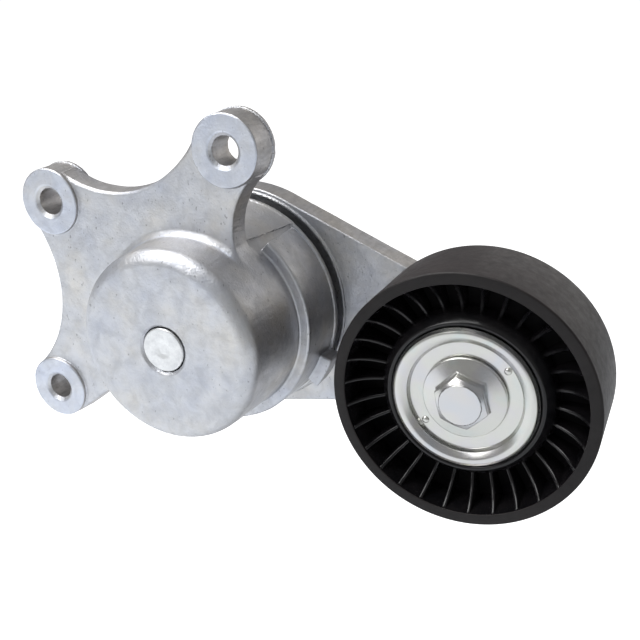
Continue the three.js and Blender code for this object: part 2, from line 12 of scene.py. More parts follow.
import bpy
import numpy as np
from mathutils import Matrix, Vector


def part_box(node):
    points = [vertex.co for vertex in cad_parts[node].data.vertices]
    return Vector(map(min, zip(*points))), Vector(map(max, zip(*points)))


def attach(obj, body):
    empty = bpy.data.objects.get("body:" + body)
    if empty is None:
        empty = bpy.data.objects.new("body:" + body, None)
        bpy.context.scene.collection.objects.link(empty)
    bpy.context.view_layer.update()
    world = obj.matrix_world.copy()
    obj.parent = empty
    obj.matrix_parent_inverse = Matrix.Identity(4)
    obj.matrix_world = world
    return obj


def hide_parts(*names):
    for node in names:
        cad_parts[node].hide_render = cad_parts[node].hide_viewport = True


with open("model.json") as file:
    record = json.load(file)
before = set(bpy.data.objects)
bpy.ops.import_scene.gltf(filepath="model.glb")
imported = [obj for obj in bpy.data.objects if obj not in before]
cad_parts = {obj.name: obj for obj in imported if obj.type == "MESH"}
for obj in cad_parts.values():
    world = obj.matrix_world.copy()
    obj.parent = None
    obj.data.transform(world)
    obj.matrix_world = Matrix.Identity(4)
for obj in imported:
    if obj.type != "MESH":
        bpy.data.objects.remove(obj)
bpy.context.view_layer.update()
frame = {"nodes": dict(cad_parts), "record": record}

MM = 0.001
CASTING_STEP = 0.45  # grid spacing of the distance fields
BOLT_STEP = 0.3
MAX_TRIANGLES = 180000  # in one field's mesh

# ------------------------------------------------------------------ sizes read from the frame


def box_mm(node):
    """A CAD node's lowest and highest corners in millimetres."""
    low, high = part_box(node)
    return np.array(low) / MM, np.array(high) / MM


def radius_of(node):
    """The outer radius of a node that is turned about Y."""
    low, high = box_mm(node)
    return (high[2] - low[2]) / 2


def y_span(node):
    """Where a node starts and ends along Y."""
    low, high = box_mm(node)
    return low[1], high[1]


def axis_of(node):
    """The x and z of the middle of a node that is turned about Y."""
    low, high = box_mm(node)
    return (low[0] + high[0]) / 2, (low[2] + high[2]) / 2


AXIS_X, AXIS_Z = axis_of("pulley_rim")
PULLEY_RADIUS = radius_of("pulley_rim")
PULLEY_FRONT, PULLEY_REAR = y_span("pulley_rim")
DOME_FRONT, RIM_Y = y_span("base_housing")
SHAFT_FRONT, SHAFT_REAR = y_span("pivot_shaft")
SEAL_RADIUS = radius_of("dust_seal")
ARM_LENGTH = math.hypot(AXIS_X, AXIS_Z)
AXIS = (AXIS_X, AXIS_Z)

MOUNT_OFFSET = 7.5  # each boss mount's point lies on the face, this far to the -X side of the hole
BOSSES = [
    ((mount["pos_m"][0] / MM) + MOUNT_OFFSET, mount["pos_m"][2] / MM)
    for mount in frame["record"]["mounts"]
    if mount["name"].startswith("boss_face")
]

# ------------------------------------------------------------------ distance fields


def round_union(a, b, radius):
    """Two fields joined, with a fillet of the given radius in the corner between them."""
    corner = np.hypot(np.maximum(radius - a, 0), np.maximum(radius - b, 0))
    return np.maximum(radius, np.minimum(a, b)) - corner


def round_meet(a, b, radius):
    """What two fields share, with the edge between them rounded to the given radius."""
    corner = np.hypot(np.maximum(radius + a, 0), np.maximum(radius + b, 0))
    return np.minimum(-radius, np.maximum(a, b)) + corner


def slab(t, low, high):
    """The space between two values of one coordinate."""
    return np.maximum(low - t, t - high)


def wedge(x, z, start, end):
    """The space between two half-planes through the Y axis, under 180 degrees apart.

    Their angles are degrees from +X towards +Z.
    """
    start, end = math.radians(start), math.radians(end)
    after_start = x * math.sin(start) - z * math.cos(start)
    before_end = z * math.cos(end) - x * math.sin(end)
    return np.maximum(after_start, before_end)


def polygon(u, v, corners):
    """Signed distance from points to a polygon in the plane."""
    nearest = np.full(u.shape, np.inf, u.dtype)
    inside = np.zeros(u.shape, bool)
    for (au, av), (bu, bv) in zip(corners, np.roll(corners, -1, axis=0)):
        eu, ev = bu - au, bv - av
        along = np.clip(((u - au) * eu + (v - av) * ev) / (eu * eu + ev * ev), 0, 1)
        nearest = np.minimum(nearest, np.hypot(u - au - along * eu, v - av - along * ev))
        if av != bv:
            crosses = (av > v) != (bv > v)
            inside ^= crosses & (u < au + eu * (v - av) / ev)
    return np.where(inside, -nearest, nearest)


def noise(x, y, z, size, seed):
    """Smooth noise between -1 and 1 with features of about the given size."""
    period = 32  # cells before the noise repeats
    table = np.random.default_rng(seed).uniform(-1, 1, (period,) * 3)
    cells, weights = [], []
    for t in (x, y, z):
        whole = np.floor(t / size)
        part = t / size - whole
        cells.append(whole.astype(int))
        weights.append(part * part * (3 - 2 * part))
    total = 0
    for corner in np.ndindex(2, 2, 2):
        weight = 1
        for w, c in zip(weights, corner):
            weight = weight * (w if c else 1 - w)
        entry = tuple((cell + c) % period for cell, c in zip(cells, corner))
        total = total + weight * table[entry]
    return total


def gradient(field, points, step=0.02):
    """A field's slope at points, by central differences."""
    columns = []
    for axis in range(3):
        shift = np.zeros(3)
        shift[axis] = step
        columns.append((field(*(points + shift).T) - field(*(points - shift).T)) / (2 * step))
    return np.stack(columns, 1)


def near_surface(field, axes, step, block=5):
    """A field's values on a grid, worked out only in the blocks that its surface may cross."""
    coarse = [axis[::block] for axis in axes]
    x, y, z = np.meshgrid(*coarse, indexing="ij")
    rough = field(x + block * step / 2, y + block * step / 2, z + block * step / 2)
    spread = [np.repeat(np.arange(len(c)), block)[: len(a)] for c, a in zip(coarse, axes)]
    values = rough[np.ix_(*spread)]
    close = np.nonzero(np.abs(values) < block * step)
    values[close] = field(*(axis[index] for axis, index in zip(axes, close)))
    return values


def surface(field, low, high, step):
    """Vertices and quads on a field's zero surface, by surface nets."""
    axes = [np.arange(a - 2 * step, b + 3 * step, step) for a, b in zip(low, high)]
    values = near_surface(field, axes, step)
    inside = values < 0
    corners = list(np.ndindex(2, 2, 2))
    cells = tuple(n - 1 for n in inside.shape)
    count = sum(
        inside[i : i + cells[0], j : j + cells[1], k : k + cells[2]].astype(np.int8)
        for i, j, k in corners
    )
    active = (count > 0) & (count < 8)
    cell_index = np.argwhere(active)
    total, crossings = np.zeros((len(cell_index), 3)), np.zeros((len(cell_index), 1))
    for a in corners:
        for axis in range(3):
            if a[axis]:
                continue
            b = tuple(c + (k == axis) for k, c in enumerate(a))
            va, vb = values[tuple((cell_index + a).T)], values[tuple((cell_index + b).T)]
            cut = (va < 0) != (vb < 0)
            part = np.where(cut, va / np.where(cut, va - vb, 1), 0)
            total += (cell_index + a + part[:, None] * (np.arange(3) == axis)) * cut[:, None]
            crossings += cut[:, None]
    points = np.array([a[0] for a in axes]) + step * total / crossings

    number = np.full(cells, -1)
    number[active] = np.arange(len(cell_index))
    quads = []
    for axis in range(3):
        b, c = (axis + 1) % 3, (axis + 2) % 3
        first, second = [slice(None)] * 3, [slice(None)] * 3
        first[axis], second[axis] = slice(None, -1), slice(1, None)
        edge = np.argwhere(inside[tuple(first)] != inside[tuple(second)])
        edge = edge[(edge[:, b] > 0) & (edge[:, c] > 0)]
        around = []
        for db, dc in ((1, 1), (0, 1), (0, 0), (1, 0)):
            cell = edge.copy()
            cell[:, b] -= db
            cell[:, c] -= dc
            around.append(number[tuple(cell.T)])
        ring = np.stack(around, 1)
        outward = inside[tuple(edge.T)]
        quads.append(np.where(outward[:, None], ring, ring[:, ::-1]))
    return settle(field, points, 0.4 * step, 4), np.concatenate(quads)


def settle(field, points, reach, rounds):
    """Points moved onto a field's zero surface, by at most reach a round."""
    for _ in range(rounds):
        slope = gradient(field, points)
        length2 = np.maximum((slope**2).sum(1), 0.05)
        move = -slope * (field(*points.T) / length2)[:, None]
        length = np.linalg.norm(move, axis=1, keepdims=True)
        points = points + move * np.minimum(1, reach / np.maximum(length, 1e-9))
    return points


# ------------------------------------------------------------------ mesh makers


def new_object(name, points, faces, materials):
    """A smooth-shaded mesh object from millimetre points."""
    mesh = bpy.data.meshes.new(name)
    mesh.from_pydata((np.asarray(points) * MM).tolist(), [], [list(map(int, f)) for f in faces])
    mesh.polygons.foreach_set("use_smooth", np.ones(len(mesh.polygons), bool))
    for material in materials:
        mesh.materials.append(material)
    piece = bpy.data.objects.new(name, mesh)
    bpy.context.scene.collection.objects.link(piece)
    return piece


def reduce_to(piece, triangles):
    """Collapses the flattest places of a mesh until it has about the given triangle count."""
    mesh = piece.data
    mesh.calc_loop_triangles()
    modifier = piece.modifiers.new("reduce", "DECIMATE")
    modifier.ratio = min(1, triangles / len(mesh.loop_triangles))
    graph = bpy.context.evaluated_depsgraph_get()
    piece.data = bpy.data.meshes.new_from_object(piece.evaluated_get(graph))
    piece.modifiers.clear()
    piece.data.name = mesh.name
    bpy.data.meshes.remove(mesh)


def from_field(name, field, low, high, step, materials, centre=(0, 0), detail=None):
    """A piece on a field's zero surface.

    detail is a small field added only once the mesh is made, for the unevenness of a casting.
    """
    points, quads = surface(field, low, high, step)
    piece = new_object(name, points, quads, materials)
    if 2 * len(quads) > MAX_TRIANGLES:
        reduce_to(piece, MAX_TRIANGLES)
    mesh = piece.data
    flat = np.empty(3 * len(mesh.vertices))
    mesh.vertices.foreach_get("co", flat)
    points = flat.reshape(-1, 3) / MM
    whole = field if detail is None else lambda *p: field(*p) + detail(*p)
    points = settle(whole, points, 0.2 * step, 2)
    slope = gradient(whole, points)
    normals = slope / np.maximum(np.linalg.norm(slope, axis=1, keepdims=True), 1e-9)
    points = points + np.array([centre[0], 0, centre[1]])
    mesh.vertices.foreach_set("co", (points * MM).ravel())
    mesh.normals_split_custom_set_from_vertices(normals.tolist())
    mesh.update()
    return piece


def rounded(profile, steps=5):
    """A profile's points, with an arc wherever a corner gives a radius as its third number."""
    out = []
    for k, corner in enumerate(profile):
        point = np.array(corner[:2], float)
        if len(corner) < 3:
            out.append(point)
            continue
        before = np.array(profile[k - 1][:2], float) - point
        after = np.array(profile[(k + 1) % len(profile)][:2], float) - point
        before, after = (d / np.linalg.norm(d) for d in (before, after))
        half = math.acos(np.clip(before @ after, -1, 1)) / 2
        tangent = corner[2] / math.tan(half)
        middle = before + after
        centre = point + middle / np.linalg.norm(middle) * corner[2] / math.sin(half)
        start = point + before * tangent - centre
        end = point + after * tangent - centre
        for t in np.linspace(0, 1, steps + 1):
            arm = start * (1 - t) + end * t
            out.append(centre + arm / np.linalg.norm(arm) * corner[2])
    return np.array(out)


def lathed(name, profile, materials, centre=(0, 0), sides=144, sharp=38):
    """A piece turned about an axis along Y from (radius, y) corners, as rounded takes them.

    Edges that turn by more than sharp degrees are shaded as edges.
    """
    line = rounded(profile)
    on_axis = line[:, 0] < 1e-6
    closed = not on_axis.any()
    turn = np.arange(sides) * 2 * np.pi / sides
    points, rows = [], []
    for radius, y in line:
        row_start = len(points)
        if radius < 1e-6:
            points.append((centre[0], y, centre[1]))
            rows.append([row_start] * sides)
            continue
        for angle in turn:
            x, z = radius * np.cos(angle), radius * np.sin(angle)
            points.append((centre[0] + x, y, centre[1] + z))
        rows.append([row_start + k for k in range(sides)])
    faces = []
    pairs = list(zip(rows, rows[1:] + rows[:1])) if closed else list(zip(rows, rows[1:]))
    for low_row, high_row in pairs:
        for k in range(sides):
            n = (k + 1) % sides
            loop = [low_row[k], low_row[n], high_row[n], high_row[k]]
            face = [v for i, v in enumerate(loop) if v != loop[i - 1]]
            if len(face) > 2:
                faces.append(face)
    area2 = sum(a[0] * b[1] - b[0] * a[1] for a, b in zip(line, np.roll(line, -1, axis=0)))
    if area2 < 0:
        faces = [face[::-1] for face in faces]
    piece = new_object(name, points, faces, materials)
    piece.data.set_sharp_from_angle(angle=math.radians(sharp))
    return piece


def place(piece, body, slot, *nodes):
    """Hangs a piece on the body that it moves with and hides the CAD nodes that it stands for;
    slot, its finish, is not used.
    """
    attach(piece, body)
    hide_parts(*nodes)
    return piece


# ------------------------------------------------------------------ materials


MIX_FACTOR, MIX_A, MIX_B, MIX_RESULT = 0, 6, 7, 2  # a Mix node's colour sockets, by number


class Shader:
    """A node material with one Principled shader, and short calls for the nodes around it."""

    def __init__(self, name, roughness, metallic=0.0, **plain):
        self.material = bpy.data.materials.new(name)
        self.material.use_nodes = True
        self.tree = self.material.node_tree
        self.bsdf = self.tree.nodes["Principled BSDF"]
        self.bsdf.inputs["Metallic"].default_value = metallic
        self.bsdf.inputs["Roughness"].default_value = roughness
        for key, value in plain.items():
            self.bsdf.inputs[key.replace("_", " ")].default_value = value
        self.coordinates = self.node("ShaderNodeTexCoord")
        self.here = self.coordinates.outputs["Object"]

    def node(self, kind, **settings):
        made = self.tree.nodes.new(kind)
        for key, value in settings.items():
            setattr(made, key, value)
        return made

    def join(self, source, target):
        self.tree.links.new(source, target)

    def put(self, node, key, value):
        """Sets an input to a number, a colour or another node's output."""
        target = node.inputs[key]
        if isinstance(value, bpy.types.NodeSocket):
            self.join(value, target)
        else:
            target.default_value = value

    def stretched(self, scale):
        """Object coordinates scaled by a vector, so that a pattern is drawn out along an axis."""
        made = self.node("ShaderNodeMapping")
        self.join(self.here, made.inputs["Vector"])
        made.inputs["Scale"].default_value = scale
        return made.outputs["Vector"]

    def noise(self, size, detail=3.0, roughness=0.5, where=None, distortion=0.0):
        """Noise from 0 to 1 with features of about the given size in millimetres."""
        made = self.node("ShaderNodeTexNoise")
        self.join(where or self.here, made.inputs["Vector"])
        made.inputs["Scale"].default_value = 1 / (size * MM)
        made.inputs["Detail"].default_value = detail
        made.inputs["Roughness"].default_value = roughness
        made.inputs["Distortion"].default_value = distortion
        return made.outputs["Fac"]

    def ramp(self, value, *stops):
        """A colour or grey ramp from (position, colour) stops."""
        made = self.node("ShaderNodeValToRGB")
        self.join(value, made.inputs["Fac"])
        points = made.color_ramp.elements
        while len(points) < len(stops):
            points.new(0.5)
        for point, (position, colour) in zip(points, stops):
            point.position = position
            grey = (colour,) * 3 if isinstance(colour, (int, float)) else colour
            point.color = (*grey, 1)
        return made.outputs["Color"]

    def mix(self, share, a, b, mode="MIX"):
        """Two colours, each a tuple or an output, mixed by a share or blended in a mode."""
        made = self.node("ShaderNodeMix", data_type="RGBA", blend_type=mode)
        for key, value in ((MIX_FACTOR, share), (MIX_A, a), (MIX_B, b)):
            if isinstance(value, tuple):
                value = (*value, 1)
            self.put(made, key, value)
        return made.outputs[MIX_RESULT]

    def tinted(self, colour, by):
        """A colour multiplied by another."""
        return self.mix(1.0, colour, by, "MULTIPLY")

    def math(self, operation, a, b=0.0):
        made = self.node("ShaderNodeMath", operation=operation)
        self.put(made, 0, a)
        self.put(made, 1, b)
        return made.outputs[0]

    def normal_y(self):
        """How much a face looks along the pivot axis, from 0 to 1."""
        made = self.node("ShaderNodeSeparateXYZ")
        self.join(self.coordinates.outputs["Normal"], made.inputs[0])
        return self.math("ABSOLUTE", made.outputs["Y"])

    def distance_y(self):
        """How far a point is from the mounting plane, in metres."""
        made = self.node("ShaderNodeSeparateXYZ")
        self.join(self.here, made.inputs[0])
        return self.math("ABSOLUTE", made.outputs["Y"])

    def outside(self, radius):
        """1 beyond a radius in millimetres about the pivot axis, and 0 inside it."""
        flat = self.stretched((1, 0, 1))
        length = self.node("ShaderNodeVectorMath", operation="LENGTH")
        self.join(flat, length.inputs[0])
        return self.math("GREATER_THAN", length.outputs["Value"], radius * MM)

    def bump(self, height, depth):
        """Adds a bump of the given depth in millimetres on top of any bump already there."""
        made = self.node("ShaderNodeBump")
        made.inputs["Distance"].default_value = depth * MM
        self.join(height, made.inputs["Height"])
        before = self.bsdf.inputs["Normal"]
        if before.is_linked:
            self.join(before.links[0].from_socket, made.inputs["Normal"])
        self.join(made.outputs["Normal"], before)

    def colour(self, value):
        self.put(self.bsdf, "Base Color", value)

    def roughness(self, value):
        self.put(self.bsdf, "Roughness", value)


def cast_aluminium():
    """Die-cast aluminium: fine grain, blotched tone, bright machined faces at the mounting plane,
    sideways walls painted darker and warmer as shade, and darker scalloped trim marks
    on the walls beyond the cup."""
    s = Shader("cast_aluminium", roughness=0.42, metallic=0.9)
    patch = s.noise(5, detail=5, roughness=0.65, distortion=0.6)
    tone = s.ramp(
        s.noise(16, detail=4, roughness=0.6),
        (0.3, (0.58, 0.605, 0.67)),
        (0.52, (0.655, 0.665, 0.69)),
        (0.72, (0.7, 0.685, 0.66)),
    )
    tone = s.mix(0.6, tone, s.ramp(patch, (0.35, 0.78), (0.6, 1.0)), "MULTIPLY")

    facing = s.ramp(s.normal_y(), (0.15, 0.0), (0.7, 1.0))
    # painted shade: walls that face sideways are tinted darker and warmer than faces along the
    # axis
    tone = s.tinted(tone, s.mix(facing, (0.78, 0.76, 0.74), (1.0, 1.0, 1.0)))
    at_plane = s.math("LESS_THAN", s.distance_y(), MACHINED_DEPTH * MM)
    machined = s.math("MULTIPLY", at_plane, facing)
    tone = s.mix(machined, tone, s.tinted(tone, (1.07, 1.1, 1.16)))

    trimmed = s.math("MULTIPLY", s.outside(TRIM_RADIUS), s.math("SUBTRACT", 1.0, facing))
    marks = s.noise(1.0, detail=4, roughness=0.6, where=s.stretched((1.0, 0.22, 1.0)))
    scraped = s.ramp(marks, (0.38, (0.85, 0.83, 0.81)), (0.6, (1.0, 0.98, 0.96)))
    tone = s.tinted(tone, s.mix(trimmed, (1.0, 1.0, 1.0), scraped))

    pits = s.noise(0.8, detail=1, where=s.stretched((1.0, 1.0, 0.6)))
    s.colour(s.mix(0.5, tone, s.ramp(pits, (0.24, 0.3), (0.3, 1.0)), "MULTIPLY"))
    s.roughness(s.ramp(patch, (0.3, 0.5), (0.7, 0.36)))
    s.bump(s.noise(2.4, detail=4), 0.08)
    s.bump(s.noise(0.7, detail=2, roughness=0.6), 0.1)
    s.bump(s.math("MULTIPLY", marks, trimmed), 0.12)
    return s.material


def zinc_plate():
    """Bright zinc plate with a faint shift of tint across it."""
    s = Shader("zinc_plate", roughness=0.25, metallic=1.0)
    drift = s.noise(11, detail=2, distortion=0.8)
    tint = s.ramp(
        drift,
        (0.3, (0.63, 0.67, 0.65)),
        (0.45, (0.67, 0.67, 0.63)),
        (0.58, (0.66, 0.65, 0.65)),
        (0.75, (0.62, 0.64, 0.67)),
    )
    s.colour(tint)
    haze = s.noise(3, detail=5, roughness=0.7)
    s.roughness(s.ramp(haze, (0.3, 0.2), (0.7, 0.27)))
    s.bump(s.noise(0.8, detail=3), 0.004)
    return s.material


def ground_steel():
    """The shaft and the bearing's rings and balls, ground bright and a little cloudy."""
    s = Shader("ground_steel", roughness=0.35, metallic=1.0)
    cloud = s.noise(3, detail=6, roughness=0.7)
    s.colour(s.ramp(cloud, (0.3, (0.68, 0.69, 0.7)), (0.6, (0.88, 0.89, 0.89))))
    s.roughness(s.ramp(s.noise(1.2, detail=4), (0.3, 0.28), (0.7, 0.48)))
    s.bump(s.noise(1.6, detail=4), 0.04)
    return s.material


def spring_steel():
    """Dark oiled steel of the torsion spring and the damper's clip."""
    s = Shader("spring_steel", roughness=0.4, metallic=0.9)
    s.colour(s.ramp(s.noise(4, detail=4), (0.3, (0.1, 0.105, 0.12)), (0.7, (0.19, 0.19, 0.2))))
    s.roughness(s.ramp(s.noise(1.5, detail=3), (0.3, 0.32), (0.7, 0.5)))
    s.bump(s.noise(0.6, detail=3), 0.015)
    return s.material


def nylon_satin():
    """The pulley's tread, dull brown-black, with its rim faces painted darker as shade."""
    s = Shader("nylon_satin", roughness=0.5, Specular_IOR_Level=0.35)
    wear = s.noise(6, detail=5, roughness=0.6, distortion=0.4)
    tone = s.ramp(wear, (0.3, (0.015, 0.0115, 0.012)), (0.7, (0.027, 0.021, 0.021)))
    # painted shade: faces that look along the axis are darkened to 0.4 of the tread's tone
    painted_face_shade = s.ramp(s.normal_y(), (0.4, 1.0), (0.8, 0.4))
    s.colour(s.tinted(tone, painted_face_shade))
    s.roughness(s.ramp(s.noise(2.5, detail=5, roughness=0.7), (0.3, 0.42), (0.7, 0.58)))
    s.bump(s.noise(0.35, detail=2), 0.007)
    s.bump(s.noise(9, detail=2), 0.04)
    return s.material


def nylon_gloss():
    """The moulded ribs and hub collar, which never touch the belt and keep their gloss."""
    s = Shader("nylon_gloss", roughness=0.25, Specular_IOR_Level=0.45)
    tone = s.ramp(s.noise(5, detail=3), (0.3, (0.004, 0.004, 0.005)), (0.7, (0.01, 0.009, 0.01)))
    s.colour(tone)
    s.roughness(s.ramp(s.noise(2, detail=4), (0.3, 0.14), (0.7, 0.26)))
    s.bump(s.noise(0.9, detail=3), 0.01)
    return s.material


def nylon_matte_painted_shade():
    """The pulley's web, deep between the ribs: rough, and darker and less glossy as painted shade.
    """
    s = Shader("nylon_matte_painted_shade", roughness=0.7, Specular_IOR_Level=0.1)
    mottle = s.noise(4, detail=3)
    # painted shade: a darker colour and a low specular level for the recess between the ribs
    s.colour(s.ramp(mottle, (0.3, (0.003, 0.003, 0.004)), (0.7, (0.008, 0.007, 0.008))))
    s.roughness(s.ramp(s.noise(2, detail=4), (0.3, 0.6), (0.7, 0.8)))
    s.bump(s.noise(0.9, detail=3), 0.02)
    return s.material


def black_rubber():
    """Dull black rubber of the seals."""
    s = Shader("black_rubber", roughness=0.8, Specular_IOR_Level=0.05)
    mottle = s.noise(2, detail=4)
    s.colour(s.ramp(mottle, (0.3, (0.002, 0.002, 0.0025)), (0.7, (0.007, 0.007, 0.0065))))
    s.roughness(s.ramp(s.noise(1, detail=3), (0.3, 0.65), (0.7, 0.85)))
    s.bump(s.noise(0.4, detail=2), 0.02)
    return s.material


def pale_polymer():
    """Natural nylon of the bushing, liner, washer, damper shoe and bearing cage."""
    s = Shader("pale_polymer", roughness=0.5)
    s.colour(s.ramp(s.noise(4, detail=3), (0.3, (0.46, 0.38, 0.22)), (0.7, (0.55, 0.47, 0.3))))
    s.roughness(s.ramp(s.noise(1.5, detail=3), (0.3, 0.42), (0.7, 0.58)))
    s.bump(s.noise(0.5, detail=2), 0.015)
    return s.material


TRIM_RADIUS = 36.5  # castings are trimmed along their outlines, out beyond the cup
MACHINED_DEPTH = 0.3  # faces this near the mounting plane are machined

CAST = cast_aluminium()
ZINC = zinc_plate()
STEEL = ground_steel()
SPRING = spring_steel()
TREAD = nylon_satin()
GLOSS = nylon_gloss()
# painted shade for the pulley's web
WEB_SHADE = nylon_matte_painted_shade()
RUBBER = black_rubber()
POLYMER = pale_polymer()

# ------------------------------------------------------------------ housing

# the cup: a dome at the front, then a step and a slight swell towards the rear
SHOULDER_RADIUS = 29.8
SHOULDER_Y = DOME_FRONT + 4
SHOULDER_ROUND = 4.2
STEP_Y = 13.1
STEP_RADIUS = 31.2
SWELL = 1.5
SWELL_LENGTH = 5
SWELL_INSET = 0.3
CUP_ROUND = 0.4

# the band round the cup's rear, the rim behind it and the lug beside the rim
BAND_RADII = (34.7, 35.6)
BAND_END_ANGLE = 53.2
BAND_ROUND = 0.8
RIM_RADIUS = 36.3
RIM_START_Y = 29.7
RIM_ROUND = 0.35
EAR_RADII = (34, 39.3)
EAR_ANGLES = (-34.5, -18)
EAR_FRONT_Y = 23.5
EDGE_ROUND = 0.5

# the raised pad on top, and the saddle where the wall swells up to it from the band's end
PAD_RADII = (32.2, 36.4)
PAD_START_Y = 8
PAD_BASE_Z = 28.3
PAD_BASE_RISE = 0.045
PAD_END_ROUND = 0.15
SADDLE_GAP = 0.6
SADDLE_FALL = 0.33
SADDLE_START_Y = 8.5
SADDLE_END_Y = RIM_Y - 0.2
SADDLE_ANGLES = (50, 63)

# the flange and its three bosses
FLANGE_Y = (1.2, 8.9)
FLANGE_DRAFT = 0.08
FLANGE_ROUND = 1.0
# centre and radius of each hollow in the outline
FLANGE_WEBS = (((-87.85, 6.3), 38.4), ((-26.95, 76.56), 35.55), ((38, 33.5), 22.45))
SPOKE_ANGLE = -142.3
BOSS_RADIUS = 10.5
BOSS_DRAFT = 0.03
BOSS_RING_RADIUS = 11.15
BOSS_RING_Y = (8.9, 10.3)
BOSS_RING_ROUND = 0.15
BOLT_HOLE = 4.2
COUNTERSINK = 5.5
COUNTERSINK_SLOPE = 1.4
HOLE_ROUND = 0.15

# fillets in the corners between them
DOME_FILLET = 2.5
BAND_FILLET = 0.6
RIM_FILLET = 0.3
LUG_FILLET = 0.4
PAD_FILLET = 0.25
BOSS_FILLET = 0.35
OVERLAP = 0.2  # how far the band runs into the rim

# inside the cup
SPRING_BORE = 25
DAMPER_BORE = 31
DAMPER_BORE_Y = 14.5
CUP_FLOOR = 4
SHAFT_BOSS = 11.5
SHAFT_BOSS_Y = -1
STOPS = ((285.8, 297.8), (53.2, 65.2))
STOP_INNER = 27
STOP_END_Y = 27.8
CAVITY_ROUND = 0.3
SHAFT_BORE = 7.1
BORE_MOUTH = 0.9
BORE_MOUTH_SLOPE = 1.2
BORE_ROUND = 0.12


def flange_outline(x, z):
    """The three-armed flange seen along the pivot axis, without its boss rounds."""
    left, top, right = (centre for centre, radius in FLANGE_WEBS)
    upper_right, upper_left, lower_left = BOSSES
    spoke = math.radians(SPOKE_ANGLE)
    edge = (
        lower_left[0] + BOSS_RADIUS * math.cos(spoke + math.pi / 2),
        lower_left[1] + BOSS_RADIUS * math.sin(spoke + math.pi / 2),
    )
    star = [(0, 0), right, upper_right, top, upper_left, left, lower_left, edge]
    outline = polygon(x, z, np.array(star, float))
    for (cx, cz), radius in FLANGE_WEBS:
        outline = np.maximum(outline, radius - np.hypot(x - cx, z - cz))
    return outline


def cup_field(r, y):
    """The cup's outside, solid."""
    draft = (STEP_RADIUS - SHOULDER_RADIUS) / (STEP_Y - SHOULDER_Y)
    wall = r - SHOULDER_RADIUS - draft * (y - SHOULDER_Y)
    dome = round_meet(wall, DOME_FRONT - y, SHOULDER_ROUND)
    dome = round_meet(dome, y - RIM_Y, CUP_ROUND)
    swell = r - STEP_RADIUS + SWELL_INSET - SWELL * np.clip((y - STEP_Y) / SWELL_LENGTH, 0, 1)
    return np.minimum(dome, round_meet(swell, slab(y, STEP_Y, RIM_Y), CUP_ROUND))


def band_field(x, y, z, r):
    """The band, which ends at the same height on both sides, and the rim behind it."""
    share = np.clip((y - STEP_Y) / (RIM_START_Y - STEP_Y), 0, 1)
    band = r - (BAND_RADII[0] + share * (BAND_RADII[1] - BAND_RADII[0]))
    band = round_meet(band, slab(y, STEP_Y, RIM_START_Y + OVERLAP), BAND_ROUND)
    end = math.radians(BAND_END_ANGLE)
    band = round_meet(band, z * math.cos(end) - np.abs(x) * math.sin(end), EDGE_ROUND)
    rim = round_meet(r - RIM_RADIUS, slab(y, RIM_START_Y, RIM_Y), RIM_ROUND)
    return round_union(band, rim, RIM_FILLET)


def pad_fields(x, y, z, r):
    """The pad, a cone cut off nearly level below, and the saddle that the wall makes to it."""
    share = (y - PAD_START_Y) / (RIM_Y - PAD_START_Y)
    above = r - (PAD_RADII[0] + share * (PAD_RADII[1] - PAD_RADII[0]))
    below = PAD_BASE_Z + PAD_BASE_RISE * (y - PAD_START_Y) - z
    pad = round_meet(above, below, EDGE_ROUND)
    pad = round_meet(pad, slab(y, PAD_START_Y, RIM_Y), PAD_END_ROUND)

    saddle = above + SADDLE_GAP + SADDLE_FALL * np.maximum(below, 0)
    saddle = np.maximum(saddle, wedge(np.abs(x), z, *SADDLE_ANGLES))
    saddle = np.maximum(saddle, slab(y, SADDLE_START_Y, SADDLE_END_Y))
    return pad, saddle


def with_boss(casting, x, y, z, boss_x, boss_z):
    """The casting with one drafted boss, the ring behind it and its countersunk hole."""
    boss = np.hypot(x - boss_x, z - boss_z)
    drafted = boss - BOSS_RADIUS - BOSS_DRAFT * np.maximum(y, 0)
    front = round_meet(drafted, slab(y, 0, BOSS_RING_Y[1]), EDGE_ROUND)
    ring = round_meet(boss - BOSS_RING_RADIUS, slab(y, *BOSS_RING_Y), BOSS_RING_ROUND)
    casting = np.minimum(round_union(casting, front, BOSS_FILLET), ring)
    hole = np.maximum(BOLT_HOLE, COUNTERSINK - np.maximum(y, 0) * COUNTERSINK_SLOPE)
    return round_meet(casting, hole - boss, HOLE_ROUND)


def cavity_field(x, y, z, r):
    """The room inside the cup, less the shaft's boss and the arm's two stops."""
    cavity = np.where(y < DAMPER_BORE_Y, r - SPRING_BORE, r - DAMPER_BORE)
    cavity = np.maximum(cavity, DOME_FRONT + CUP_FLOOR - y)
    cavity = np.maximum(cavity, -np.maximum(r - SHAFT_BOSS, y - SHAFT_BOSS_Y))
    for start, end in STOPS:
        stop = np.maximum(wedge(x, z, start, end), slab(r, STOP_INNER, DAMPER_BORE + 1))
        stop = np.maximum(stop, slab(y, DAMPER_BORE_Y, STOP_END_Y))
        cavity = np.maximum(cavity, -stop)
    return cavity


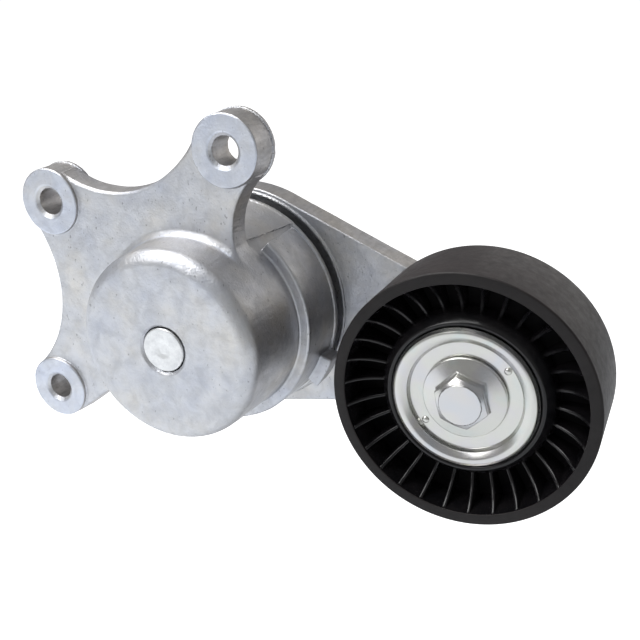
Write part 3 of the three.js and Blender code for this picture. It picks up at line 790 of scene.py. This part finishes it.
def housing_field(x, y, z):
    """The housing: cup, flange, band, lug, pad and bosses, hollowed out and bored."""
    r = np.hypot(x, z)
    flange = flange_outline(x, z) - FLANGE_DRAFT * np.maximum(y, 0)
    flange = round_meet(flange, slab(y, *FLANGE_Y), FLANGE_ROUND)
    ear = round_meet(slab(r, *EAR_RADII), wedge(x, z, *EAR_ANGLES), EDGE_ROUND)
    ear = round_meet(ear, slab(y, EAR_FRONT_Y, RIM_Y), EDGE_ROUND)
    pad, saddle = pad_fields(x, y, z, r)

    casting = round_union(cup_field(r, y), flange, DOME_FILLET)
    casting = round_union(casting, band_field(x, y, z, r), BAND_FILLET)
    casting = round_union(round_union(casting, ear, LUG_FILLET), saddle, LUG_FILLET)
    casting = round_union(casting, pad, PAD_FILLET)
    for centre in BOSSES:
        casting = with_boss(casting, x, y, z, *centre)
    casting = round_meet(casting, -cavity_field(x, y, z, r), CAVITY_ROUND)
    mouth = SHAFT_BORE + BORE_MOUTH - (y - DOME_FRONT) * BORE_MOUTH_SLOPE
    return round_meet(casting, np.maximum(SHAFT_BORE, mouth) - r, BORE_ROUND)


CAST_WAVES = ((0.07, 7, 11), (0.03, 2.3, 12))  # height, size and seed


def cast_unevenness(x, y, z):
    """The slight waviness of a die-cast skin."""
    return sum(height * noise(x, y, z, size, seed) for height, size, seed in CAST_WAVES)


def cast_piece(name, node, field, body):
    """A casting in its CAD node's box."""
    low, high = box_mm(node)
    piece = from_field(name, field, low, high, CASTING_STEP, [CAST], detail=cast_unevenness)
    return place(piece, body, "cast_aluminium", node)


cast_piece("housing_casting", "base_housing", housing_field, "base")

# ------------------------------------------------------------------ pieces on the pivot axis

# profiles turned about an axis: (radius, y) corners, with the round of a corner as a third number
LINER_INNER = 23.1
PIN_RADIUS = 6.8
PEEN_RADIUS = radius_of("pivot_shaft")  # the head that holds the retaining plate
PEEN_Y = SHAFT_REAR - 1.6
pin_profile = [
    (0, SHAFT_FRONT + 0.35),
    (1.4, SHAFT_FRONT + 0.3, 1.0),
    (2.8, SHAFT_FRONT + 0.02, 1.2),
    (PIN_RADIUS, SHAFT_FRONT, 0.45),
    (PIN_RADIUS, PEEN_Y),
    (PEEN_RADIUS, PEEN_Y, 0.2),
    (PEEN_RADIUS, SHAFT_REAR - 0.8, 0.5),
    (5.5, SHAFT_REAR, 1.5),
    (0, SHAFT_REAR),
]
place(lathed("pivot_pin", pin_profile, [STEEL]), "base", "ground_steel", "pivot_shaft")


def ring_piece(name, node, body, slot, material, inner, edge=0.3, centre=(0, 0)):
    """A turned ring with softened edges, as long and as wide as its CAD node."""
    outer = radius_of(node)
    front, rear = y_span(node)
    profile = [
        (inner, front, edge / 2),
        (outer, front, edge),
        (outer, rear, edge),
        (inner, rear, edge / 2),
    ]
    return place(lathed(name, profile, [material], centre), body, slot, node)


SEAL_FRONT, SEAL_REAR = y_span("dust_seal")
SEAL_INNER = SEAL_RADIUS - 3.4
SEAL_OUTER = SEAL_RADIUS - 0.8
seal_profile = [
    (SEAL_INNER, SEAL_FRONT, 0.2),
    (SEAL_OUTER, SEAL_FRONT, 0.3),
    (SEAL_OUTER - 1.2, (SEAL_FRONT + SEAL_REAR) / 2, 0.6),
    (SEAL_OUTER, SEAL_REAR, 0.3),
    (SEAL_INNER, SEAL_REAR, 0.2),
]
place(lathed("seal_ring", seal_profile, [RUBBER]), "base", "black_rubber", "dust_seal")
ring_piece("retaining_disc", "retaining_plate", "base", "zinc_steel", ZINC, SHAFT_BORE, 0.6)
ring_piece("thrust_ring", "thrust_washer", "arm", "pale_polymer", POLYMER, SHAFT_BORE)
ring_piece("pivot_sleeve", "pivot_bushing", "arm", "pale_polymer", POLYMER, SHAFT_BORE)
ring_piece("liner_sleeve", "spring_liner", "base", "pale_polymer", POLYMER, LINER_INNER)

# ------------------------------------------------------------------ arm

ARM_FRONT = SEAL_REAR + 0.3
ARM_FACE_Y = ARM_FRONT + 0.4
ARM_REAR = 45
ARM_CORE_Y = 42  # inside the plate, where the solids joined to it end
ARM_ROUND = 0.4
HUB_RADIUS = 38.4
ARM_END = 13.5
ARM_BORE = 8.6

# the recess round the hub that the seal runs in, and the low ring round it
RECESS_RADIUS = 36.1
RECESS_DEPTH = 2.5
RECESS_ROUND = 0.3
LIP_WIDTH = 1.1
LIP_ROUND = 0.2
LIP_FILLET = 0.25

# the hub tube inside the cup, with two lugs that carry the damper and meet the stops
TUBE_RADIUS = 12
TUBE_FRONT = 0.6
TUBE_FILLET = 1.5
TANG_RADII = (27, 30.4)
TANG_FRONT = 17
TANGS = ((262, 285), (106, 126))
TANG_FILLET = 0.8
TURNED_ROUND = 0.5

# the boss behind the pulley and the pilot that the bearing sits on
PILOT_RADIUS = 8.2
PILOT_FRONT = y_span("bearing_inner_ring")[0] + 0.6
NECK_RADIUS = 11.8
SHOULDER_FACE = y_span("rear_shield")[1] + 0.3
NECK_FILLET = 2.5
THREAD_BORE = 5.3
THREAD_END_Y = 43

# the back: a spine from the hub to a hexagon for a wrench
SPINE_WIDTH = 9
SPINE_START = 18.5
SPINE_Y = 48.6
SPINE_ROUND = 1.2
SPINE_FILLET = 2.0
HEX_REAR = y_span("tensioner_arm")[1]
HEX_FLATS = 18
HEX_ROUND = 0.7
HEX_FILLET = 1.6
BORE_EDGE = 0.2


def arm_outline(x, z):
    """The arm seen along the pivot axis: a belt round the hub and the pulley boss."""
    along = (x * AXIS_X + z * AXIS_Z) / ARM_LENGTH
    across = np.abs(z * AXIS_X - x * AXIS_Z) / ARM_LENGTH
    lean = (HUB_RADIUS - ARM_END) / ARM_LENGTH
    flat = math.sqrt(1 - lean * lean)
    k = along * flat - across * lean
    sides = across * flat + along * lean - HUB_RADIUS
    hub = np.hypot(across, along) - HUB_RADIUS
    end = np.hypot(across, along - ARM_LENGTH) - ARM_END
    return np.where(k < 0, hub, np.where(k > flat * ARM_LENGTH, end, sides))


def hexagon(u, v, flats):
    """Distance to a hexagon of the given size across flats, with its corners along u."""
    distances = [abs(u * math.cos(t) + v * math.sin(t)) for t in np.radians((30, 90, 150))]
    return np.maximum.reduce(distances) - flats / 2


def arm_plate(x, y, z, r):
    """The arm's plate, with the ring and recess on its face, the hub tube and the tube's lugs."""
    plate = round_meet(arm_outline(x, z), slab(y, ARM_FACE_Y, ARM_REAR), ARM_ROUND)
    lip = round_meet(r - RECESS_RADIUS - LIP_WIDTH, slab(y, ARM_FRONT, ARM_CORE_Y), LIP_ROUND)
    plate = round_union(plate, lip, LIP_FILLET)
    recess = round_meet(r - RECESS_RADIUS, y - ARM_FACE_Y - RECESS_DEPTH, RECESS_ROUND)
    plate = round_meet(plate, -recess, LIP_ROUND)

    tube = round_meet(r - TUBE_RADIUS, slab(y, TUBE_FRONT, ARM_CORE_Y), ARM_ROUND)
    plate = round_union(plate, tube, TUBE_FILLET)
    for start, end in TANGS:
        tang = np.maximum(wedge(x, z, start, end), slab(r, *TANG_RADII))
        tang = round_meet(tang, slab(y, TANG_FRONT, ARM_CORE_Y), ARM_ROUND)
        plate = round_union(plate, tang, TANG_FILLET)
    return plate


def arm_field(x, y, z):
    """The arm: plate, pulley boss, bearing pilot, spine and wrench hexagon, bored twice."""
    r = np.hypot(x, z)
    u, v = x - AXIS_X, z - AXIS_Z
    end_r = np.hypot(u, v)

    taper = (ARM_END - NECK_RADIUS) / (ARM_FRONT - SHOULDER_FACE)
    boss = end_r - np.minimum(ARM_END, NECK_RADIUS + taper * (y - SHOULDER_FACE))
    boss = round_meet(boss, slab(y, SHOULDER_FACE, ARM_CORE_Y), TURNED_ROUND)
    pilot = round_meet(end_r - PILOT_RADIUS, slab(y, PILOT_FRONT, ARM_CORE_Y), TURNED_ROUND)
    solid = round_union(arm_plate(x, y, z, r), boss, NECK_FILLET)
    solid = np.minimum(solid, pilot)

    along = (x * AXIS_X + z * AXIS_Z) / ARM_LENGTH
    across = (z * AXIS_X - x * AXIS_Z) / ARM_LENGTH
    spine = np.maximum(np.abs(across) - SPINE_WIDTH / 2, slab(along, SPINE_START, ARM_LENGTH))
    spine = round_meet(spine, slab(y, ARM_CORE_Y, SPINE_Y), SPINE_ROUND)
    nut = round_meet(hexagon(u, v, HEX_FLATS), slab(y, ARM_CORE_Y, HEX_REAR), HEX_ROUND)
    solid = round_union(solid, spine, SPINE_FILLET)
    solid = round_union(solid, nut, HEX_FILLET)
    solid = round_meet(solid, ARM_BORE - r, BORE_EDGE)
    hole = np.maximum(end_r - THREAD_BORE, y - THREAD_END_Y)
    return round_meet(solid, -hole, BORE_EDGE)


cast_piece("arm_casting", "tensioner_arm", arm_field, "arm")

# ------------------------------------------------------------------ pulley

RIM_INNER = 34.6
RIM_DRAFT = 0.5  # how much the rim narrows inside towards the web
WEB_Y = (14.6, 17.8)
WEB_NEAR = 2  # the web's painted shade reaches this far from it
RIBS = 30
RIB_PHASE = 0.9
RIB_HALF = 0.6
RIB_ROOT_HALF = 0.8
RIB_MARGIN = 0.5
RIB_DROP = 8.6
RIB_FALL = 5.0
RIB_ROWS = 26
SHIELD_RADIUS = radius_of("front_shield")
COLLAR_BORE = SHIELD_RADIUS + 0.7
COLLAR_CREST = (22.4, 6.1)
COLLAR_ROOT = 25.6
RIB_ENDS = (RIM_INNER + 0.6, COLLAR_BORE + 2.2)  # inside the rim and inside the collar
SEAT_GAP = 0.3
BEARING_FRONT, BEARING_REAR = y_span("bearing_outer_ring")
SEAT_FRONT, SEAT_REAR = BEARING_FRONT - SEAT_GAP, BEARING_REAR + SEAT_GAP
SEAT_RADIUS = radius_of("bearing_outer_ring") + SEAT_GAP
SEAT_LIP_RADIUS = 19.3
FRONT_LIP_Y = SEAT_FRONT - 1.0
REAR_LIP_Y = SEAT_REAR + 1.6


def rib_edge(radius, face, side):
    """How deep the ribs' edges lie at a radius: they dip from the rim towards the collar."""
    dip = RIB_DROP * (1 - math.exp(-max(RIM_INNER - radius, 0) / RIB_FALL))
    return face + side * (RIB_MARGIN + dip)


def rib_mesh():
    """All the ribs: thin radial plates with rounded edges, a little thicker at the web."""
    middle = (WEB_Y[0] + WEB_Y[1]) / 2
    radii = np.linspace(*RIB_ENDS, RIB_ROWS)
    half_circle = np.radians(np.arange(0, 181, 30))
    points, faces = [], []
    for k in range(RIBS):
        turn = math.radians(RIB_PHASE + 360 / RIBS * k)
        start = len(points)
        for radius in radii:
            section = []
            for face, side in ((PULLEY_FRONT, 1), (PULLEY_REAR, -1)):
                edge = rib_edge(radius, face, side)
                for t in half_circle:
                    across = side * RIB_HALF * math.cos(t)
                    section.append((across, edge + side * RIB_HALF * (1 - math.sin(t))))
                section.append((-side * RIB_ROOT_HALF, middle))
            for across, y in section:
                x = radius * math.cos(turn) - across * math.sin(turn)
                z = radius * math.sin(turn) + across * math.cos(turn)
                points.append((AXIS_X + x, y, AXIS_Z + z))
        ring = len(section)
        for row in range(len(radii) - 1):
            for j in range(ring):
                a, b = start + row * ring + j, start + row * ring + (j + 1) % ring
                faces.append((a, b, b + ring, a + ring))
        last = start + (len(radii) - 1) * ring
        faces.append([start + j for j in range(ring)][::-1])
        faces.append([last + j for j in range(ring)])
    return points, faces


wheel_profile = [
    (RIM_INNER, PULLEY_FRONT, 0.25),
    (PULLEY_RADIUS, PULLEY_FRONT, 0.6),
    (PULLEY_RADIUS, PULLEY_REAR, 0.6),
    (RIM_INNER, PULLEY_REAR, 0.25),
    (RIM_INNER - RIM_DRAFT, WEB_Y[1], 1.0),
    (COLLAR_ROOT, WEB_Y[1], 1.2),
    (24.2, REAR_LIP_Y, 0.8),
    (SEAT_LIP_RADIUS, REAR_LIP_Y, 0.4),
    (SEAT_LIP_RADIUS, SEAT_REAR),
    (SEAT_RADIUS, SEAT_REAR),
    (SEAT_RADIUS, SEAT_FRONT),
    (SEAT_LIP_RADIUS, SEAT_FRONT),
    (SEAT_LIP_RADIUS, FRONT_LIP_Y),
    (COLLAR_BORE, FRONT_LIP_Y),
    (COLLAR_BORE + 0.1, COLLAR_CREST[1] + 0.8, 0.3),
    (COLLAR_CREST[0] - 0.2, COLLAR_CREST[1], 0.9),
    (24.8, 9.0, 2.5),
    (COLLAR_ROOT, WEB_Y[0], 1.2),
    (RIM_INNER - RIM_DRAFT, WEB_Y[0], 1.0),
]
GLOSS_SLOT, WEB_SHADE_SLOT = 1, 2
pulley = lathed("pulley_moulding", wheel_profile, [TREAD, GLOSS, WEB_SHADE], AXIS, sides=180)
# painted shade: faces inside the rim near the web take the darker, duller web material
for face in pulley.data.polygons:
    x, y, z = face.center / MM
    if math.hypot(x - AXIS_X, z - AXIS_Z) < RIM_INNER - 0.05:
        by_web = WEB_Y[0] - WEB_NEAR < y < WEB_Y[1] + WEB_NEAR
        face.material_index = WEB_SHADE_SLOT if by_web else GLOSS_SLOT
place(pulley, "pulley", "black_nylon", "pulley_rim")
ribs = new_object("pulley_ribs", *rib_mesh(), [GLOSS])
ribs.data.set_sharp_from_angle(angle=math.radians(50))
place(ribs, "pulley", "black_nylon", "pulley_rim")

# ------------------------------------------------------------------ shields and bolt

CREST_Y = y_span("front_shield")[0]
DISC_Y = 8.2
SHEET = 1.0
SHIELD_BORE = 5.3
shield_profile = [
    (SHIELD_BORE, DISC_Y, 0.1),
    (16.3, DISC_Y, 0.35),
    (16.9, DISC_Y - 1.6, 0.5),
    (20.0, CREST_Y, 2.2),
    (SHIELD_RADIUS - 0.05, CREST_Y + 0.7, 0.4),
    (SHIELD_RADIUS, CREST_Y + 2.2, 0.15),
    (SHIELD_RADIUS - 0.8, CREST_Y + 2.2, 0.15),
    (SHIELD_RADIUS - 0.9, CREST_Y + 1.4, 0.2),
    (19.2, DISC_Y - 1.2, 0.5),
    (17.6, DISC_Y + SHEET, 0.6),
    (SHIELD_BORE, DISC_Y + SHEET, 0.1),
]
PIP_PLACE = 14.9
PIP_ANGLES = (41, 221)
PIP_SIZE = 1.1
PIP_HEIGHT = 0.7
shield = lathed("shield_pressing", shield_profile, [ZINC], AXIS)
place(shield, "arm", "zinc_steel", "front_shield")

pip_root = (PIP_SIZE, DISC_Y + SHEET / 2)
pip_dome = [
    (PIP_SIZE * math.sin(t), DISC_Y - PIP_HEIGHT * math.cos(t)) for t in np.linspace(0, 1.5, 7)
]
for number, angle in enumerate(np.radians(PIP_ANGLES), 1):
    centre = (AXIS_X + PIP_PLACE * math.cos(angle), AXIS_Z + PIP_PLACE * math.sin(angle))
    pip_profile = [*pip_dome, pip_root, (0, pip_root[1])]
    pip = lathed(f"shield_pip_{number}", pip_profile, [ZINC], centre, sides=24)
    place(pip, "arm", "zinc_steel", "front_shield")

FLANGE_RADIUS = radius_of("pulley_bolt")
HEAD_Y, BOLT_END = y_span("pulley_bolt")
BOLT_SEAT = 7.9
REAR_COVER_BORE = 8.5
HEX_ACROSS = 14
HEX_TURN = 45
FACE_RADIUS = 6.1
HEAD_CHAMFER = 1.7
FACE_STEP = 0.35
FACE_ROUND = 0.15
BOLT_ROUND = 0.2
WASHER_SLOPE = 0.28
WASHER_EDGE = 1.1
WASHER_ROUND = 0.35
HEAD_FILLET = 0.6
SHANK_RADIUS = 4.95
SHANK_ROUND = 0.6
THREAD_PITCH = 1.5
THREAD_DEPTH = 0.35
THREAD_START = 14  # behind the seat


def bolt_field(x, y, z):
    """The bolt about its own axis: chamfered hexagon, sloped flange and threaded shank."""
    r = np.hypot(x, z)
    turn = math.radians(HEX_TURN)
    u = x * math.cos(turn) + z * math.sin(turn)
    v = z * math.cos(turn) - x * math.sin(turn)
    head = round_meet(hexagon(u, v, HEX_ACROSS), y - BOLT_SEAT, BOLT_ROUND)
    depth = y - HEAD_Y - FACE_STEP
    chamfer = (r - FACE_RADIUS - depth * HEAD_CHAMFER) / math.hypot(1, HEAD_CHAMFER)
    head = round_meet(head, np.maximum(chamfer, -depth), BOLT_ROUND)
    face = round_meet(r - FACE_RADIUS, slab(y, HEAD_Y, BOLT_SEAT), FACE_ROUND)
    head = np.minimum(head, face)

    slope = (r - FLANGE_RADIUS) * WASHER_SLOPE + (BOLT_SEAT - WASHER_EDGE) - y
    washer = round_meet(np.maximum(r - FLANGE_RADIUS, y - BOLT_SEAT), slope, WASHER_ROUND)
    solid = round_union(head, washer, HEAD_FILLET)

    turns = y / THREAD_PITCH + np.arctan2(z, x) / (2 * math.pi)
    thread = THREAD_DEPTH * np.abs((turns % 1) * 2 - 1)
    shank = r - SHANK_RADIUS + np.where(y > BOLT_SEAT + THREAD_START, thread, 0)
    shank = round_meet(shank, slab(y, BOLT_SEAT - 1, BOLT_END), SHANK_ROUND)
    return np.minimum(solid, shank)


bolt_reach = np.array([FLANGE_RADIUS, 0, FLANGE_RADIUS])
bolt = from_field(
    "flange_bolt",
    bolt_field,
    np.array([0, HEAD_Y, 0]) - bolt_reach,
    np.array([0, BOLT_END, 0]) + bolt_reach,
    BOLT_STEP,
    [ZINC],
    centre=AXIS,
)
place(bolt, "arm", "zinc_steel", "pulley_bolt")
ring_piece("rear_cover", "rear_shield", "arm", "zinc_steel", ZINC, REAR_COVER_BORE, centre=AXIS)

# ------------------------------------------------------------------ bearing and other inner pieces

# the outer pieces hide these, so they keep their CAD meshes
for node, material in {
    "bearing_inner_ring": STEEL,
    "bearing_outer_ring": STEEL,
    "bearing_cage": POLYMER,
    "front_bearing_seal": RUBBER,
    "rear_bearing_seal": RUBBER,
    "torsion_spring": SPRING,
    "damper_shoe": POLYMER,
    "damper_clip": SPRING,
    **{f"bearing_ball_{k}": STEEL for k in range(1, 9)},
}.items():
    carried = frame["nodes"][node]
    for material_slot in carried.material_slots:
        material_slot.material = material

# ------------------------------------------------------------------ floor, lights and camera

CAMERA_AZIMUTH = 23.98  # degrees, from the front towards +X
CAMERA_ELEVATION = 21.51
CAMERA_PLACE = (136.46, -208.0, 101.1)
CAMERA_LENS = 48.69

# lengths in metres from here on
FLOOR_Z = -0.42
FLOOR_HALF = 6.0
NEAR_FLOOR_Z = -0.1  # below every pose
NEAR_FLOOR_HALF = 1.5
LIT_POINT = (0.03, 0.015, 0.01)
WORLD_LIGHT = 0.28
WORLD_SEEN = 1.05


def add_sheet(name, height, half, material):
    """A level square sheet that throws no shadow of its own."""
    mesh = bpy.data.meshes.new(name)
    corners = [(-half, -half), (half, -half), (half, half), (-half, half)]
    mesh.from_pydata([(x, y, height) for x, y in corners], [], [(0, 1, 2, 3)])
    mesh.materials.append(material)
    sheet = bpy.data.objects.new(name, mesh)
    sheet.visible_shadow = False
    bpy.context.scene.collection.objects.link(sheet)
    return sheet


def add_floor():
    """A plain white floor for the camera, and a near one whose light and shade the metal shows."""
    seen = Shader("floor_white", roughness=0.9, Emission_Color=(1, 1, 1, 1), Emission_Strength=1.0)
    far = add_sheet("floor", FLOOR_Z, FLOOR_HALF, seen.material)
    far.visible_diffuse = far.visible_glossy = False
    pale = Shader("floor_pale", roughness=0.9, Base_Color=(0.91, 0.935, 0.97, 1))
    near = add_sheet("near_floor", NEAR_FLOOR_Z, NEAR_FLOOR_HALF, pale.material)
    near.visible_camera = False


def add_softbox(name, stand, size, power, colour=(1, 1, 1)):
    """A soft rectangular light, unseen itself, that faces the object."""
    light = bpy.data.lights.new(name, "AREA")
    light.shape = "RECTANGLE"
    light.size, light.size_y = size
    light.energy = power
    light.color = colour
    lamp = bpy.data.objects.new(name, light)
    lamp.location = stand
    lamp.visible_camera = False
    lamp.rotation_mode = "QUATERNION"
    direction = Vector(LIT_POINT) - Vector(stand)
    lamp.rotation_quaternion = direction.to_track_quat("-Z", "Y")
    bpy.context.scene.collection.objects.link(lamp)


def add_world():
    """A dim grey studio that shows as plain white behind the object."""
    world = bpy.data.worlds.new("studio")
    world.use_nodes = True
    tree = world.node_tree
    background = tree.nodes["Background"]
    background.inputs["Color"].default_value = (1, 1, 1, 1)
    seen = tree.nodes.new("ShaderNodeLightPath").outputs["Is Camera Ray"]
    strength = tree.nodes.new("ShaderNodeMapRange")
    strength.inputs["To Min"].default_value = WORLD_LIGHT
    strength.inputs["To Max"].default_value = WORLD_SEEN
    tree.links.new(seen, strength.inputs["Value"])
    tree.links.new(strength.outputs["Result"], background.inputs["Strength"])
    bpy.context.scene.world = world


def add_camera():
    """The camera, level across, at its azimuth and elevation."""
    camera = bpy.data.cameras.new("camera")
    camera.sensor_width = 36
    camera.lens = CAMERA_LENS
    camera.clip_start = 0.01
    holder = bpy.data.objects.new("camera", camera)
    holder.location = [c * MM for c in CAMERA_PLACE]
    holder.rotation_euler = (
        math.radians(90 - CAMERA_ELEVATION),
        0,
        math.radians(CAMERA_AZIMUTH),
    )
    bpy.context.scene.collection.objects.link(holder)
    bpy.context.scene.camera = holder


add_floor()
add_softbox("left", (-0.5, -0.75, 0.6), (0.5, 0.5), 2.8)
add_softbox("overhead", (-0.36, -0.05, 0.88), (0.9, 0.7), 9.6)
add_softbox("back", (0.38, 0.8, 0.24), (1.1, 0.5), 1.35, (1.0, 0.985, 0.96))
add_world()
bpy.context.scene.view_settings.view_transform = "Standard"
add_camera()
